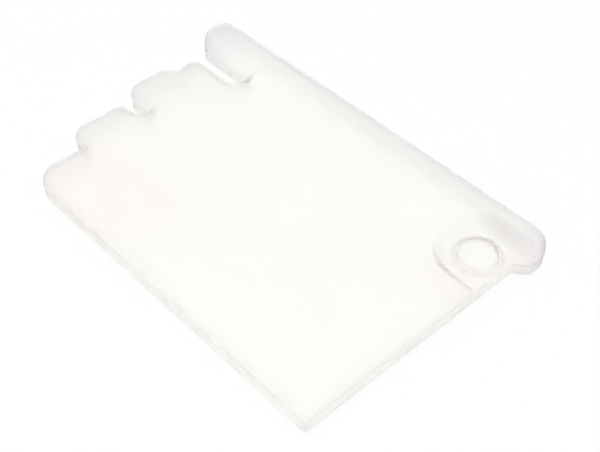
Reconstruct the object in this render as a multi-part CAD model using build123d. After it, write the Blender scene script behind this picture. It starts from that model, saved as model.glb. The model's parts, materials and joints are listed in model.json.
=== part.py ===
from build123d import *
from math import asin, degrees, hypot, radians, sqrt, tan
import os

# Flat blow-moulded water tank of a condenser dryer, lying on its base.
# X runs from the stepped front edge (-X) to the rear, Y from the plain side (-Y) to the rail side, Z up.
# The origin is on the base, under the middle of the tank.  All sizes are in millimetres.

# Overall sizes
rail_length = 498.0          # rounded rail along the far side, tip to tip
top_height = 32.0            # flat top above the base
wall = 2.0                   # wall of the moulding

# Rail
rail_width = 48.0
crest_rise = 3.5             # crest of the rail above the flat top
crest_inset = 22.0           # crest line from the inner side of the rail
crown_radius = 65.0          # crown across the rail
cove_radius = 40.0           # hollow curve from the flat top up to the crown
front_tip_radius = 25.0      # inner corner of the front tip, seen from above
rear_tip_radius = 24.0       # outer corner of the rear tip
rear_overhang = 14.0         # rail past the rear face
overhang_run = 12.0          # slope from the rear face out to the rear tip, along Y

# Stepped front edge, along X: each step stands back from the one before it
lobe_setback = 23.0          # lobe behind the front tip of the rail
shoulder_setback = 10.0      # lobe's shoulder, beside the rail, behind the lobe
notch_setback = 5.0          # small notch behind the lobe's shoulder
middle_setback = 19.0        # middle step behind the lobe
outer_setback = 31.0         # outer step behind the middle step
rail_slot_depth = 67.0       # slot beside the rail, from the lobe's shoulder
lobe_slot_depth = 31.0       # slot beside the lobe, from the middle step

# Widths along the front edge, along Y, from the rail to the plain side
rail_slot_width = 27.0
shoulder_width = 20.0
notch_rise = 9.0             # slope from the lobe's shoulder down to the notch
notch_run = 11.0             # slope from the notch up to the lobe
lobe_width = 52.0
lobe_slot_width = 18.0
middle_width = 70.0
outer_width = 65.0

# Roundings
shoulder_radius = 12.0       # upper edge all round
corner_margin = 2.0          # upright corners are rounder than the upper edge by this much
plain_corner_radius = 20.0   # front corner on the plain side
step_root_radius = 6.0       # inner corners of the outer step and the rear overhang
notch_root_radius = 5.0
lobe_slot_radius = 8.5       # inner corners of the slots
rail_slot_radius = 10.0
base_chamfer = 2.2           # lower edge all round
hollow_chamfer = 7.5         # upper edge of the hollow, under the rounded upper edge
hollow_slope = 45.0          # degrees

# Parting line of the mould
seam_height = 16.0           # middle of the bead above the base
seam_band = 1.2              # height of the bead
seam_proud = 0.7             # bead past the wall

# Sunk pad with the filling collar, at the rear end of the rail
pad_rise = 2.0               # pad above the parting line
pad_radius = 32.0            # round end and half width of the pad
pad_crest_gap = 11.0         # foot of the pad's side wall from the crest line
pad_draft = 37.0             # slope of the pad's side walls, degrees
pad_root_radius = 6.0
pad_rim_radius = 4.0         # upper edge of the pad's walls
collar_bore = 40.0
collar_rim = 3.3             # width of the collar's rim
collar_height = 6.0          # collar above the pad
collar_lip_chamfer = 0.8
collar_rear_gap = 4.7        # collar to the rear face
collar_offset = 2.3          # collar's axis from the middle of the pad, towards the rail

# Shallow panel pressed into the top behind the front edge
panel_length = 113.0         # along Y
panel_depth = 41.0           # along X
panel_sink = 2.0
panel_corner_radius = 12.0
panel_draft = 40.0           # slope of the panel's edge, degrees
panel_front_gap = 101.0      # panel behind the outer step
panel_side_gap = 81.0        # panel from the plain side

# Places worked out from the sizes above
front_widths = [rail_width, rail_slot_width, shoulder_width, notch_rise, notch_run, lobe_width,
                lobe_slot_width, middle_width, outer_width]
tank_width = sum(front_widths)
x_front = -rail_length / 2
x_tip = rail_length / 2
x_rear = x_tip - rear_overhang
x_lobe = x_front + lobe_setback
x_shoulder = x_lobe + shoulder_setback
x_notch = x_shoulder + notch_setback
x_middle = x_lobe + middle_setback
x_outer = x_middle + outer_setback
x_rail_slot = x_shoulder + rail_slot_depth
x_lobe_slot = x_middle + lobe_slot_depth
y_far = tank_width / 2
y_near = -tank_width / 2
y_rail = y_far - rail_width
y_crest = y_rail + crest_inset
y_rail_slot = y_rail - rail_slot_width
y_shoulder = y_rail_slot - shoulder_width
y_notch = y_shoulder - notch_rise
y_lobe_end = y_notch - notch_run
y_lobe = y_lobe_end - lobe_width
y_middle = y_lobe - lobe_slot_width
y_outer = y_middle - middle_width
crest_height = top_height + crest_rise
pad_height = seam_height + pad_rise
pad_y = y_crest - pad_crest_gap - pad_radius
corner_radius = shoulder_radius + corner_margin
collar_radius = collar_bore / 2 + collar_rim
collar_x = x_rear - collar_rear_gap - collar_radius
collar_y = pad_y + collar_offset
panel_x = x_outer + panel_front_gap + panel_depth / 2
panel_y = y_near + panel_side_gap + panel_length / 2
cut_margin = 5.0             # cutting shapes run past the faces they open
tolerance = 0.01             # points this near a surface count as on it


def plan():
    """The tank seen from above, as a face: each corner has its own rounding."""
    corners = [
        (x_rear, y_near, 0),
        (x_rear, y_rail, step_root_radius),
        (x_tip, y_rail + overhang_run, corner_radius),
        (x_tip, y_far, rear_tip_radius),
        (x_front, y_far, corner_radius),
        (x_front, y_rail, front_tip_radius),
        (x_rail_slot, y_rail, rail_slot_radius),
        (x_rail_slot, y_rail_slot, rail_slot_radius),
        (x_shoulder, y_rail_slot, corner_radius),
        (x_shoulder, y_shoulder, corner_radius),
        (x_notch, y_notch, notch_root_radius),
        (x_lobe, y_lobe_end, corner_radius),
        (x_lobe, y_lobe, corner_radius),
        (x_lobe_slot, y_lobe, lobe_slot_radius),
        (x_lobe_slot, y_middle, lobe_slot_radius),
        (x_middle, y_middle, corner_radius),
        (x_middle, y_outer, corner_radius),
        (x_outer, y_outer, step_root_radius),
        (x_outer, y_near, plain_corner_radius),
    ]
    line = FilletPolyline(*[(x, y) for x, y, _ in corners], radius=[r for _, _, r in corners], close=True)
    return make_face(line)


def roof(inset):
    """Everything under the top surface: flat, then a cove and a crown that roll over the rail."""
    crown, cove = crown_radius - inset, cove_radius + inset
    reach = sqrt((crown + cove) ** 2 - (crown + cove - crest_rise) ** 2)
    slope = degrees(asin(reach / (crown + cove)))
    end = degrees(asin((y_far + cut_margin - y_crest) / crown))
    flat, crest = top_height - inset, crest_height - inset
    low, near, far = -cut_margin, y_near - cut_margin, y_far + cut_margin
    cove_arc = CenterArc((y_crest - reach, flat + cove), cove, -90, slope)
    crown_arc = CenterArc((y_crest, crest - crown), crown, 90 + slope, -slope - end)
    edge = Polyline(crown_arc @ 1, (far, low), (near, low), (near, flat), cove_arc @ 0)
    section = Plane.YZ * make_face([cove_arc, crown_arc, edge])
    return extrude(Pos(x_front - cut_margin) * section, rail_length + 2 * cut_margin)


def pad_space(inset):
    """Space above the sunk pad: round the collar, open to the rear, wider towards the top."""
    radius = pad_radius + inset
    run = x_tip + cut_margin - collar_x
    floor = Circle(radius) + Pos(run / 2, 0) * Rectangle(run, 2 * radius)
    space = extrude(floor, crest_height - pad_height + cut_margin, taper=-pad_draft)
    return Pos(collar_x, pad_y, pad_height - inset) * space


def on_pad_rim(edge):
    """True for an edge that runs along the upper end of the pad's side walls."""
    for point in edge.positions([0.25, 0.5, 0.75]):
        rise = point.Z - pad_height
        reach = pad_radius + rise * tan(radians(pad_draft))
        away = hypot(min(point.X - collar_x, 0), point.Y - pad_y)
        if rise < pad_root_radius or abs(away - reach) > tolerance:
            return False
    return edge.bounding_box().size.X > tolerance


def panel_space(inset):
    """Space above the shallow panel in the top."""
    face = RectangleRounded(panel_depth + 2 * inset, panel_length + 2 * inset, panel_corner_radius + inset)
    space = extrude(face, panel_sink + inset + cut_margin, taper=-panel_draft)
    return Pos(panel_x, panel_y, top_height - panel_sink - inset) * space


def outside():
    """The tank's outer form, solid: rounded upper edge, chamfered base, sunk pad and panel."""
    form = roof(0) & extrude(plan(), crest_height)
    sides = [side for side in form.faces() if abs(side.normal_at().Z) < tolerance]
    upper = [edge for side in sides for edge in side.edges() if edge.bounding_box().min.Z > seam_height]
    form = fillet(upper, shoulder_radius)
    form = chamfer(form.faces().sort_by(Axis.Z)[0].edges(), base_chamfer)
    pad = pad_space(0)
    form -= fillet(pad.faces().sort_by(Axis.Z)[0].edges(), pad_root_radius)
    form = fillet([edge for edge in form.edges() if on_pad_rim(edge)], pad_rim_radius)
    return form - panel_space(0)


def hollow():
    """The water's space: plan, roof, pad and panel drawn in by the wall, with a sloped upper edge."""
    face = offset(plan(), amount=-wall, kind=Kind.INTERSECTION)
    slope_height = top_height - wall - hollow_chamfer
    lower = Pos(0, 0, wall) * extrude(face, slope_height - wall)
    upper = Pos(0, 0, slope_height) * extrude(face, crest_height - slope_height, taper=hollow_slope)
    return (roof(wall) & (lower + upper)) - pad_space(wall) - panel_space(wall)


def seam():
    """Bead that the two halves of the mould leave round the tank."""
    face = offset(plan(), amount=seam_proud, kind=Kind.INTERSECTION)
    return Pos(0, 0, seam_height - seam_band / 2) * extrude(face, seam_band)


def collar():
    """Short upright tube on the pad, with a broken lip."""
    foot = pad_height - wall
    tube = Cylinder(collar_radius, wall + collar_height, align=(Align.CENTER, Align.CENTER, Align.MIN))
    tube = chamfer(tube.edges().sort_by(Axis.Z)[-1], collar_lip_chamfer)
    return Pos(collar_x, collar_y, foot) * tube


def collar_hole():
    """The filling opening, through the collar and the pad."""
    depth = collar_height + wall + 2 * cut_margin
    hole = Cylinder(collar_bore / 2, depth, align=(Align.CENTER, Align.CENTER, Align.MIN))
    return Pos(collar_x, collar_y, pad_height - wall - cut_margin) * hole


def water_tank():
    """The hollow moulding with its seam, collar and filling opening."""
    shell = outside() + seam() - hollow()
    return shell + collar() - collar_hole()


os.makedirs("parts", exist_ok=True)
export_step(water_tank(), "parts/water_tank.step")
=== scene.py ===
# %% [markdown]
# A flat water tank from a condenser dryer, blow-moulded in milky natural plastic.
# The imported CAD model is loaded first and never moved: it gives the size, the place and the
# single body that everything rides on.  All lengths below are in metres, X runs from the stepped
# front edge to the rear, Y towards the rail and Z up.

# %% Load the frame
import json
import math

import bmesh
import bpy
import numpy as np
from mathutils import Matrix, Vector


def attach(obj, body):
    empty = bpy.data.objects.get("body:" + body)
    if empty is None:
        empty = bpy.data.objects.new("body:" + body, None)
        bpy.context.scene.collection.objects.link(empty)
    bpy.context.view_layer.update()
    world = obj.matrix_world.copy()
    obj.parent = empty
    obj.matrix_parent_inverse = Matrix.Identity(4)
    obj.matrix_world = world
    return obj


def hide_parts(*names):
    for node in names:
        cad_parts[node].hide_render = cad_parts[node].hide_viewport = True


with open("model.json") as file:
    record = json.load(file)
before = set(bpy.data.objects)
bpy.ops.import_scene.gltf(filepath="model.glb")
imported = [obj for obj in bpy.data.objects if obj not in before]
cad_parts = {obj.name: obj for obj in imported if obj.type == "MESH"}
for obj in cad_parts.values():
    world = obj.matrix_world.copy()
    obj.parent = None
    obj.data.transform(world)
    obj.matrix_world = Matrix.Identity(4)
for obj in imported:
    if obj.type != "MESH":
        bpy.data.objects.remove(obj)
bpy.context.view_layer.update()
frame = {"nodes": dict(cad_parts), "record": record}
record = frame["record"]
tank_node = frame["nodes"]["water_tank"]

# %% [markdown]
# The tank's skin.  On the real tank one hose of soft plastic is blown against a cold mould, so it
# is a single closed skin with no joints.  The CAD mesh is loose triangles, and light would break on
# each facet of the rounded shoulder.  A subdivision surface would round the crisp parting bead away.
# A copy is welded instead, and its long triangles are cut into short ones, so that the next steps
# have enough points to work on.

# %% Weld a copy of the tank and cut its long edges
WELD_DISTANCE = 1e-6
LONGEST_EDGE = 0.014
MOST_HALVINGS = 8


def welded_skin(source, name):
    """Copy of a mesh with equal points merged, and each edge over LONGEST_EDGE halved until none is."""
    work = bmesh.new()
    work.from_mesh(source.data)
    bmesh.ops.remove_doubles(work, verts=work.verts, dist=WELD_DISTANCE)
    for _ in range(MOST_HALVINGS):
        long_edges = [edge for edge in work.edges if edge.calc_length() > LONGEST_EDGE]
        if not long_edges:
            break
        bmesh.ops.subdivide_edges(work, edges=long_edges, cuts=1)
        bmesh.ops.triangulate(work, faces=work.faces)
    mesh = bpy.data.meshes.new(name)
    work.to_mesh(mesh)
    work.free()
    return mesh


skin_mesh = welded_skin(tank_node, "tank_skin")
print("skin:", len(skin_mesh.vertices), "points,", len(skin_mesh.polygons), "triangles")

# %% [markdown]
# Sag of the top.  A blown wall this wide never cools quite flat: it draws in a little between its
# stiff rounded edges, in long shallow waves.  A bump texture could fake that, but a low light along
# the top shows real hills and hollows, so the points themselves move down.  Both sides of the wall
# move together, which keeps its thickness, and nothing rises, which keeps the tank inside its box.

# %% Let the top sag between its edges
SAG_DEPTH = 0.0005
WAVE_DEPTH = 0.00012
WAVES = [(41, 17, 0.6), (-11, 29, 1.9)]  # radians per metre along X and along Y, and the phase
TOP_FROM = 0.027                         # points above this height belong to the top wall
FLAT_X = (-0.145, 0.150)
FLAT_Y = (-0.145, 0.095)
EDGE_RUN = 0.060


def eased(distance, run):
    """0 below zero, 1 past run, and 3t^2 - 2t^3 of the share t between them."""
    t = np.clip(distance / run, 0, 1)
    return t * t * (3 - 2 * t)


def sag(x, y):
    """Depth of the sag: eased in from the four sides of the flat top, plus the product of two sine waves."""
    inside = eased(x - FLAT_X[0], EDGE_RUN) * eased(FLAT_X[1] - x, EDGE_RUN)
    inside = inside * eased(y - FLAT_Y[0], EDGE_RUN) * eased(FLAT_Y[1] - y, EDGE_RUN)
    crossed = np.ones_like(x)
    for along_x, along_y, phase in WAVES:
        crossed = crossed * np.sin(along_x * x + along_y * y + phase)
    return inside * (SAG_DEPTH + WAVE_DEPTH * (1 + crossed))


points = np.empty(len(skin_mesh.vertices) * 3)
skin_mesh.vertices.foreach_get("co", points)
points = points.reshape(-1, 3)
drop = np.where(points[:, 2] > TOP_FROM, sag(points[:, 0], points[:, 1]), 0)
points[:, 2] -= drop
skin_mesh.vertices.foreach_set("co", points.ravel())
skin_mesh.update()
print("top sags by up to", round(float(drop.max()) * 1000, 2), "mm")

# %% [markdown]
# Where the edges roll over.  The front steps and the rail's outer side turn away from the light, so
# shade is painted on them, greyer than the top, but not inside the two slots, whose places the record
# gives.  How far a point has rolled over is the tilt of its normal, and it is kept with the mesh as a
# value per point, for the painted shade of the finish to read.

# %% Keep how far the front and rail edges roll over, as a mask of painted shade
FRONT_PART = -0.12    # the front edge is before this X
RAIL_PART = 0.125     # the rail's outer side is past this Y
SLOT_MOUTH = -0.200   # the slots run on from this X
SLOT_MARGIN = 0.0035  # from the record's box to the slot's wall and its rounding
ROLL_START = 0.08
ROLL_RUN = 0.8

normals = np.empty(len(skin_mesh.vertices) * 3)
skin_mesh.vertices.foreach_get("normal", normals)
normals = normals.reshape(-1, 3)
front_tilt = np.where(points[:, 0] < FRONT_PART, -normals[:, 0], 0)
slots = [opening["box_m"] for opening in record["physics"]["openings"] if opening["name"].endswith("slot")]
for low_corner, high_corner in slots:
    past_low = points[:, 1] > low_corner[1] - SLOT_MARGIN
    before_high = points[:, 1] < high_corner[1] + SLOT_MARGIN
    front_tilt[(points[:, 0] > SLOT_MOUTH) & past_low & before_high] = 0
rail_tilt = np.where(points[:, 1] > RAIL_PART, normals[:, 1], 0)
# mask of painted shade on the surfaces that turn away from the light
painted_edge_shade = eased(np.maximum(front_tilt, rail_tilt) - ROLL_START, ROLL_RUN)
skin_mesh.attributes.new("painted_edge_shade", "FLOAT", "POINT").data.foreach_set("value", painted_edge_shade)
print("rolled edges:", int((painted_edge_shade > 0.5).sum()), "points, leaving out", len(slots), "slots")

# %% [markdown]
# Smooth light over the skin.  The shoulder should roll over without facets while the parting bead,
# the collar's lip and the base keep their edges.  Edges sharper than a set angle stay sharp, and the
# normals are weighted by face area, so the wide flat faces stay flat up to their rims.

# %% Shade the skin and put it in the tank's place
SHARP_ANGLE = math.radians(46)
FLAT_FACE_WEIGHT = 90

skin_mesh.shade_smooth()
skin_mesh.set_sharp_from_angle(angle=SHARP_ANGLE)
tank_skin = bpy.data.objects.new("tank_skin", skin_mesh)
bpy.context.scene.collection.objects.link(tank_skin)
area_normals = tank_skin.modifiers.new("area_normals", "WEIGHTED_NORMAL")
area_normals.mode = "FACE_AREA"
area_normals.weight = FLAT_FACE_WEIGHT
area_normals.keep_sharp = True
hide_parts("water_tank")
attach(tank_skin, "root")
print("skin stands for the CAD node", tank_node.name)

# %% [markdown]
# Small helpers for the finish.  A material is a graph of nodes, and most lines that build one only
# add a node and join sockets.  One helper adds a node with its settings, and one starts a node
# group, which is a graph of its own with named inputs and outputs.

# %% Helpers that add nodes and start groups


def add(tree, kind, inputs=(), **settings):
    """Node of a kind, with settings as attributes; inputs are (socket, value or output to join)."""
    made = tree.nodes.new("ShaderNode" + kind)
    for name, value in settings.items():
        setattr(made, name, value)
    sockets = {socket.identifier: socket for socket in made.inputs}
    for name, value in inputs:
        socket = sockets[name] if name in sockets else made.inputs[name]
        if isinstance(value, bpy.types.NodeSocket):
            tree.links.new(value, socket)
        else:
            socket.default_value = value
    return made


def start_group(name, inputs, outputs):
    """Empty shader group; inputs and outputs are (name, socket type). Gives its tree, entry and exit."""
    tree = bpy.data.node_groups.new(name, "ShaderNodeTree")
    for socket, kind in inputs:
        tree.interface.new_socket(socket, in_out="INPUT", socket_type="NodeSocket" + kind)
    for socket, kind in outputs:
        tree.interface.new_socket(socket, in_out="OUTPUT", socket_type="NodeSocket" + kind)
    return tree, tree.nodes.new("NodeGroupInput"), tree.nodes.new("NodeGroupOutput")


print("helpers:", add.__name__, "and", start_group.__name__)

# %% [markdown]
# Painted light patches.  Grey shade is painted where shade falls: on the front edge, the rail's far side
# and its tips, the rear knob and the valley beside the pad.  A warm glow is painted where light comes
# through the thin wall.  Each patch is a soft ellipsoid, the same group with another centre and reach.
# Painting vertex colours would work too, but a mask worked out from the place needs no extra data and no fine
# mesh.

# %% Group: a soft patch round a point


def soft_patch_group():
    """Mask of 1 at Centre, eased to 0 where the way from Centre, divided by Reach, is 1 long."""
    tree, entry, leave = start_group(
        "soft_patch", [("Place", "Vector"), ("Centre", "Vector"), ("Reach", "Vector")], [("Mask", "Float")])
    offset = add(tree, "VectorMath", [(0, entry.outputs["Place"]), (1, entry.outputs["Centre"])],
                 operation="SUBTRACT")
    share = add(tree, "VectorMath", [(0, offset.outputs[0]), (1, entry.outputs["Reach"])],
                operation="DIVIDE")
    away = add(tree, "VectorMath", [(0, share.outputs[0])], operation="LENGTH")
    fade = add(tree, "MapRange", [("Value", away.outputs["Value"]), ("From Min", 1.0), ("From Max", 0.0)],
               interpolation_type="SMOOTHSTEP")
    tree.links.new(fade.outputs["Result"], leave.inputs["Mask"])
    return tree


soft_patch = soft_patch_group()
print("group", soft_patch.name, "is 1 at its centre and 0 at its reach")

# %% [markdown]
# Rings round the collar.  A grey line of painted shade is laid round the foot of the collar, in its tight
# inner corner, and round its lip.  The same idea as the patch, but the soft body is a torus: a
# point's distance from the collar's axis is compared with the ring's radius.

# %% Group: a soft ring round an upright axis


def soft_ring_group():
    """Mask of 1 on the level circle of Radius round Centre, eased to 0 at Width away from that circle."""
    tree, entry, leave = start_group(
        "soft_ring", [("Place", "Vector"), ("Centre", "Vector"), ("Radius", "Float"), ("Width", "Float")],
        [("Mask", "Float")])
    offset = add(tree, "VectorMath", [(0, entry.outputs["Place"]), (1, entry.outputs["Centre"])],
                 operation="SUBTRACT")
    level = add(tree, "VectorMath", [(0, offset.outputs[0]), (1, (1, 1, 0))], operation="MULTIPLY")
    reach = add(tree, "VectorMath", [(0, level.outputs[0])], operation="LENGTH")
    beside = add(tree, "Math", [(0, reach.outputs["Value"]), (1, entry.outputs["Radius"])],
                 operation="SUBTRACT")
    above = add(tree, "SeparateXYZ", [("Vector", offset.outputs[0])])
    across = add(tree, "CombineXYZ", [("X", beside.outputs[0]), ("Z", above.outputs["Z"])])
    away = add(tree, "VectorMath", [(0, across.outputs[0])], operation="LENGTH")
    fade = add(tree, "MapRange", [("Value", away.outputs["Value"]), ("From Min", entry.outputs["Width"]),
                                  ("From Max", 0.0)], interpolation_type="SMOOTHSTEP")
    tree.links.new(fade.outputs["Result"], leave.inputs["Mask"])
    return tree


soft_ring = soft_ring_group()
print("group", soft_ring.name, "is 1 on its circle and 0 at its width")

# %% [markdown]
# Clouds.  The wall of a blown part is thicker in some places than in others, and it looks like weak
# cloud in milk.  Two noises of a hand's width and of a thumb's width are added up.  A picture of
# clouds would repeat or stretch over the rounded edges, while noise in space goes round them.

# %% Group: cloudy wall thickness
WIDE_CLOUDS = 11.0    # clouds per metre
SMALL_CLOUDS = 46.0
SMALL_SHARE = 0.35
CLOUD_RANGE = (0.36, 0.64)


def wall_clouds_group():
    """Weighted sum of two noises, with CLOUD_RANGE of it eased out to the range from 0 to 1."""
    tree, entry, leave = start_group("wall_clouds", [("Place", "Vector")], [("Cloud", "Float")])
    place = entry.outputs["Place"]
    wide = add(tree, "TexNoise", [("Vector", place), ("Scale", WIDE_CLOUDS), ("Detail", 2.0)])
    small = add(tree, "TexNoise", [("Vector", place), ("Scale", SMALL_CLOUDS), ("Detail", 3.0)])
    total = add(tree, "Mix", [("Factor", SMALL_SHARE), ("A", wide.outputs["Fac"]), ("B", small.outputs["Fac"])])
    spread = add(tree, "MapRange", [("Value", total.outputs["Result"]), ("From Min", CLOUD_RANGE[0]),
                                    ("From Max", CLOUD_RANGE[1])], interpolation_type="SMOOTHSTEP")
    tree.links.new(spread.outputs["Result"], leave.inputs["Cloud"])
    return tree


wall_clouds = wall_clouds_group()
print("group", wall_clouds.name, "gives 0 for a thin wall and 1 for a thick one")

# %% [markdown]
# Rubbed places.  The tank slides in and out of its bay on its base and along its rail, and the bay
# leaves fine scratches that run the way it slides.  Noise that is squeezed across X and drawn out
# along it makes such streaks.  They are kept to the lowest few millimetres and to the rail's outer side.

# %% Group: fine streaks from sliding
STREAKS = (9, 700, 420)       # streaks per metre along X, Y and Z
STREAK_RANGE = (0.56, 0.70)   # only the peaks of the noise leave a mark
RUBBED_BASE = (0.008, 0.001)  # heights where the rubbing starts and is full
RUBBED_SIDE = (0.150, 0.160)  # the same for Y on the rail's outer side


def sliding_scuffs_group():
    """Peaks of a noise drawn out along X, times the larger of two ramps, one in Z and one in Y."""
    tree, entry, leave = start_group("sliding_scuffs", [("Place", "Vector")], [("Mask", "Float")])
    place = entry.outputs["Place"]

    def ramp(value, ends):
        """0 at the first end and 1 at the second, straight between them."""
        made = add(tree, "MapRange", [("Value", value), ("From Min", ends[0]), ("From Max", ends[1])])
        return made.outputs["Result"]

    drawn = add(tree, "Mapping", [("Vector", place), ("Scale", STREAKS)])
    streak = add(tree, "TexNoise", [("Vector", drawn.outputs["Vector"]), ("Scale", 1.0), ("Detail", 4.0)])
    split = add(tree, "SeparateXYZ", [("Vector", place)])
    low = ramp(split.outputs["Z"], RUBBED_BASE)
    side = ramp(split.outputs["Y"], RUBBED_SIDE)
    where = add(tree, "Math", [(0, low), (1, side)], operation="MAXIMUM")
    mask = add(tree, "Math", [(0, ramp(streak.outputs["Fac"], STREAK_RANGE)), (1, where.outputs[0])],
               operation="MULTIPLY")
    tree.links.new(mask.outputs[0], leave.inputs["Mask"])
    return tree


sliding_scuffs = sliding_scuffs_group()
print("group", sliding_scuffs.name, "marks the base and the rail's outer side")

# %% [markdown]
# Milky plastic.  Unfilled polyethylene scatters light inside its wall: the top glows almost white and
# the inside of the collar stays bright.  Subsurface scattering looks right on a solid block, but on a
# hollow tank with a 2 mm wall it loses the light that goes right through.  A rough, weakly bending
# transmission lets that light through from the floor and the far walls, so it is used here.  The
# clouds come first, and the tones are then laid over them one by one.

# %% Start the plastic with its clouds
WALL_THIN = (0.995, 0.992, 0.980, 1)
WALL_THICK = (0.990, 0.982, 0.962, 1)

milky = bpy.data.materials.new("milky_plastic")
milky.use_nodes = True
milky_tree = milky.node_tree
plastic = milky_tree.nodes["Principled BSDF"]
place = add(milky_tree, "TexCoord").outputs["Object"]
cloud = add(milky_tree, "Group", [], node_tree=wall_clouds)
milky_tree.links.new(place, cloud.inputs["Place"])


def toned(below, mask, tone):
    """Colour that goes from below, a colour or an output, to tone where the mask is 1."""
    blend = add(milky_tree, "Mix", [("Factor_Float", mask), ("A_Color", below), ("B_Color", tone)],
                data_type="RGBA")
    return next(output for output in blend.outputs if output.identifier == "Result_Color")


def spot(below, group, name, values, tone, strength):
    """Lays a tone over the colour below, through the mask of a group at its own values, times strength."""
    mask = add(milky_tree, "Group", [], node_tree=group, label=name)
    milky_tree.links.new(place, mask.inputs["Place"])
    for socket, value in values.items():
        mask.inputs[socket].default_value = value
    weak = add(milky_tree, "Math", [(0, mask.outputs["Mask"]), (1, strength)], operation="MULTIPLY")
    return toned(below, weak.outputs[0], tone)


colour = toned(WALL_THIN, cloud.outputs["Cloud"], WALL_THICK)
print("clouds go from", WALL_THIN[:3], "to", WALL_THICK[:3])

# %% [markdown]
# The painted light of single places.  Patches of painted shade stand on the front, the rail, its tips,
# the rear knob and the pad's valley, and patches of painted glow stand where light comes through the thin
# wall.  The rings of painted shade take their place from the collar that the record gives.  The painted
# shade of the rolled edges comes last, through the value that the mesh keeps for each point.

# %% Lay the painted shade and glow patches, the shade rings and the shaded edges over the clouds
PAINTED_LIGHT_PATCHES = [
    # name, centre, reach, colour, strength
    # the next five patches are painted shade: front edge, rail far side, rail tip, rear knob and the valley
    # beside the pad
    ("painted_shade_front_edge", (-0.275, 0.00, 0.03), (0.120, 0.40, 0.20), (0.93, 0.918, 0.918, 1), 0.7),
    ("painted_shade_rail_far_side", (0.00, 0.172, 0.03), (0.60, 0.036, 0.10), (0.89, 0.88, 0.87, 1), 0.8),
    ("painted_shade_rail_tip", (-0.245, 0.142, 0.03), (0.060, 0.055, 0.08), (0.91, 0.91, 0.945, 1), 0.7),
    ("painted_shade_rear_knob", (0.247, 0.135, 0.02), (0.036, 0.045, 0.06), (0.925, 0.885, 0.885, 1), 0.55),
    ("painted_shade_pad_valley", (0.208, 0.130, 0.028), (0.042, 0.013, 0.02), (0.88, 0.85, 0.84, 1), 0.85),
    # these two patches are a painted warm glow, standing in for light that comes through the thin wall
    ("painted_glow_side", (-0.110, -0.120, 0.03), (0.150, 0.10, 0.10), (0.99, 0.962, 0.938, 1), 0.6),
    ("painted_glow_pad", (0.205, 0.060, 0.02), (0.080, 0.075, 0.08), (0.985, 0.955, 0.93, 1), 0.35),
]
PAINTED_SHADE_RINGS = [
    # name, height over the bore's lower end, radius past the bore, width, colour, strength
    # both rings are painted shade, round the collar's foot and round its lip
    ("painted_shade_collar_foot", 0.002, 0.0045, 0.0040, (0.84, 0.815, 0.81, 1), 0.6),
    ("painted_shade_collar_lip", 0.008, 0.0017, 0.0030, (0.86, 0.85, 0.845, 1), 0.7),
]
SHADED_EDGE_TONE = (0.875, 0.875, 0.885, 1)
MM = 0.001

collar = next(mount for mount in record["mounts"] if mount["name"] == "filling_collar")
bore_x, bore_y, bore_middle = collar["pos_m"]
bore_radius = collar["dims"]["r_mm"] * MM
bore_low = bore_middle - collar["dims"]["length_mm"] * MM / 2

for name, centre, reach, tone, strength in PAINTED_LIGHT_PATCHES:
    colour = spot(colour, soft_patch, name, {"Centre": centre, "Reach": reach}, tone, strength)
for name, height, past_bore, width, tone, strength in PAINTED_SHADE_RINGS:
    ring = {"Centre": (bore_x, bore_y, bore_low + height), "Radius": bore_radius + past_bore, "Width": width}
    colour = spot(colour, soft_ring, name, ring, tone, strength)
# painted shade on the rolled edges, read from the mask that the mesh keeps
rolled = add(milky_tree, "Attribute", attribute_name="painted_edge_shade")
colour = toned(colour, rolled.outputs["Fac"], SHADED_EDGE_TONE)
print(len(PAINTED_LIGHT_PATCHES), "tone patches and", len(PAINTED_SHADE_RINGS), "rings over the clouds")

# %% [markdown]
# Shine and touch.  The mould's skin is a fine matt grain, like very fine leather, over long soft
# waves.  Both are far too shallow to model, so they go into a Bump node.  The scuffs are whiter and
# rougher than the skin round them, and a weak coat gives the satin shine of the mould's polish.

# %% Roughness, grain and the shader's own values
SCUFF_WHITE = (0.992, 0.99, 0.985, 1)
SCUFF_ROUGHER = 0.2
ROUGHNESS = (0.54, 0.62)  # of a thin wall and of a thick one
GRAIN = 850.0             # grains per metre
PEEL = 130.0              # soft waves per metre
PEEL_HEIGHT = 3.0         # against the grain's
RELIEF_DEPTH = 0.00012

scuffs = add(milky_tree, "Group", [], node_tree=sliding_scuffs)
milky_tree.links.new(place, scuffs.inputs["Place"])
milky_tree.links.new(toned(colour, scuffs.outputs["Mask"], SCUFF_WHITE), plastic.inputs["Base Color"])

matt = add(milky_tree, "MapRange", [("Value", cloud.outputs["Cloud"]), ("To Min", ROUGHNESS[0]),
                                    ("To Max", ROUGHNESS[1])])
rough = add(milky_tree, "Math", [(0, scuffs.outputs["Mask"]), (1, SCUFF_ROUGHER), (2, matt.outputs["Result"])],
            operation="MULTIPLY_ADD")
milky_tree.links.new(rough.outputs[0], plastic.inputs["Roughness"])

grain = add(milky_tree, "TexNoise", [("Vector", place), ("Scale", GRAIN), ("Detail", 3.0)])
peel = add(milky_tree, "TexNoise", [("Vector", place), ("Scale", PEEL), ("Detail", 2.0)])
relief = add(milky_tree, "Math", [(0, peel.outputs["Fac"]), (1, PEEL_HEIGHT), (2, grain.outputs["Fac"])],
             operation="MULTIPLY_ADD")
bump = add(milky_tree, "Bump", [("Strength", 0.25), ("Distance", RELIEF_DEPTH), ("Height", relief.outputs[0])])
milky_tree.links.new(bump.outputs["Normal"], plastic.inputs["Normal"])

plastic.inputs["IOR"].default_value = 1.09
plastic.inputs["Transmission Weight"].default_value = 0.9
plastic.inputs["Coat Weight"].default_value = 0.12
plastic.inputs["Coat Roughness"].default_value = 0.22
skin_mesh.materials.clear()
skin_mesh.materials.append(milky)
print("milky plastic has", len(milky_tree.nodes), "nodes")

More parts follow.
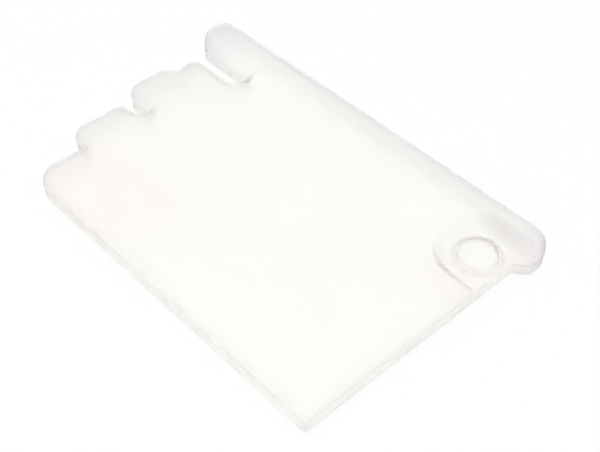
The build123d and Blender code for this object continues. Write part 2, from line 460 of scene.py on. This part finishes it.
# %% [markdown]
# Floor.  The tank lies on a plain white sheet that runs out of the picture.  More light would make
# the sheet white and burn the tank out with it, so the sheet is partly a plain white of strength 1
# for rays that look at it, and an ordinary matt sheet for the light that falls on it.  The matt
# share keeps the tank's shadow.

# %% White sheet under the tank
FLOOR_HALF = 2.5
FLOOR_DROP = 0.0002   # keeps the sheet clear of the tank's base
FLOOR_WHITE = 0.86    # share of plain white in what a ray sees of the sheet
SHEET_COLOUR = (0.9, 0.9, 0.9, 1)
SHEET_ROUGHNESS = 0.9

floor_mesh = bpy.data.meshes.new("floor")
floor_x = FLOOR_HALF * np.array([-1, 1, 1, -1])
floor_y = FLOOR_HALF * np.array([-1, -1, 1, 1])
floor_corners = np.column_stack([floor_x, floor_y, np.full(4, -FLOOR_DROP)])
floor_mesh.from_pydata(floor_corners.tolist(), [], [(0, 1, 2, 3)])
floor = bpy.data.objects.new("floor", floor_mesh)
bpy.context.scene.collection.objects.link(floor)


def seen_white(tree):
    """Mask of 1 for a ray that looks: from the camera, off a glossy face or through the plastic."""
    path = add(tree, "LightPath")
    direct = add(tree, "Math", [(0, path.outputs["Is Camera Ray"]), (1, path.outputs["Is Glossy Ray"])],
                 operation="MAXIMUM")
    either = add(tree, "Math", [(0, direct.outputs[0]), (1, path.outputs["Is Transmission Ray"])],
                 operation="MAXIMUM")
    return either.outputs[0]


sheet = bpy.data.materials.new("white_sheet")
sheet.use_nodes = True
sheet_tree = sheet.node_tree
matt_sheet = sheet_tree.nodes["Principled BSDF"]
matt_sheet.inputs["Base Color"].default_value = SHEET_COLOUR
matt_sheet.inputs["Roughness"].default_value = SHEET_ROUGHNESS
plain = add(sheet_tree, "Emission", [("Strength", 1.0)])
part_white = add(sheet_tree, "Math", [(0, seen_white(sheet_tree)), (1, FLOOR_WHITE)], operation="MULTIPLY")
sheet_mix = add(sheet_tree, "MixShader", [(0, part_white.outputs[0]), (1, matt_sheet.outputs[0]),
                                          (2, plain.outputs[0])])
sheet_tree.links.new(sheet_mix.outputs[0], sheet_tree.nodes["Material Output"].inputs["Surface"])
floor_mesh.materials.append(sheet)
print("floor is", 2 * FLOOR_HALF, "m wide")

# %% [markdown]
# Light.  Milky plastic shows its form only by weak greys, so the light is soft and comes from all
# round, with one wide lamp overhead that makes the flat top a little lighter than the upright walls.
# A hard lamp would draw dark edges that such plastic doesn't show.

# %% Soft studio light
WORLD_LEVEL = 0.9
KEY_WATTS = 6.3
KEY_STAND = (0.1, -0.3, 1.5)
KEY_SIZE = 1.2
WHITE = (1, 1, 1, 1)

world = bpy.data.worlds.new("studio")
bpy.context.scene.world = world
world.use_nodes = True
world_tree = world.node_tree
around = world_tree.nodes["Background"]
around.inputs["Color"].default_value = WHITE
around.inputs["Strength"].default_value = WORLD_LEVEL
backdrop = add(world_tree, "Background", [("Color", WHITE), ("Strength", 1.0)])
world_mix = add(world_tree, "MixShader", [(0, seen_white(world_tree)), (1, around.outputs[0]),
                                          (2, backdrop.outputs[0])])
world_tree.links.new(world_mix.outputs[0], world_tree.nodes["World Output"].inputs["Surface"])


def softbox(name, stand, aim, size, watts):
    """Square area lamp at stand, turned so that its face looks at aim."""
    lamp = bpy.data.lights.new(name, "AREA")
    lamp.size = size
    lamp.energy = watts
    holder = bpy.data.objects.new(name, lamp)
    holder.location = stand
    holder.rotation_euler = (Vector(aim) - Vector(stand)).to_track_quat("-Z", "Y").to_euler()
    bpy.context.scene.collection.objects.link(holder)
    return holder


key = softbox("key_light", KEY_STAND, (0, 0, 0), KEY_SIZE, KEY_WATTS)
print("lamp", key.name, "of", KEY_WATTS, "W over a world of", WORLD_LEVEL)

# %% [markdown]
# Camera.  The view is from above the near corner, half way down from straight above.  The focal
# length and the angles come from the perspective of the tank's two long sides and its ends.

# %% Camera
PHOTO_WIDTH = 600
FOCAL_PIXELS = 1103.4
SENSOR_WIDTH = 36
VIEW_AIM = (0.0468, 0.0073, 0)
VIEW_AZIMUTH = math.radians(47.4)
VIEW_ELEVATION = math.radians(45.2)
VIEW_DISTANCE = 1.1227

lens = bpy.data.cameras.new("camera")
lens.sensor_width = SENSOR_WIDTH
lens.lens = FOCAL_PIXELS / PHOTO_WIDTH * SENSOR_WIDTH
camera = bpy.data.objects.new("camera", lens)
level_part = math.cos(VIEW_ELEVATION)
back = Vector((math.sin(VIEW_AZIMUTH) * level_part, -math.cos(VIEW_AZIMUTH) * level_part,
               math.sin(VIEW_ELEVATION)))
camera.location = Vector(VIEW_AIM) + back * VIEW_DISTANCE
camera.rotation_euler = (-back).to_track_quat("-Z", "Y").to_euler()
bpy.context.scene.collection.objects.link(camera)
bpy.context.scene.camera = camera
bpy.context.scene.view_settings.view_transform = "Standard"
print("camera at", [round(v, 3) for v in camera.location], "with", round(lens.lens, 1), "mm")
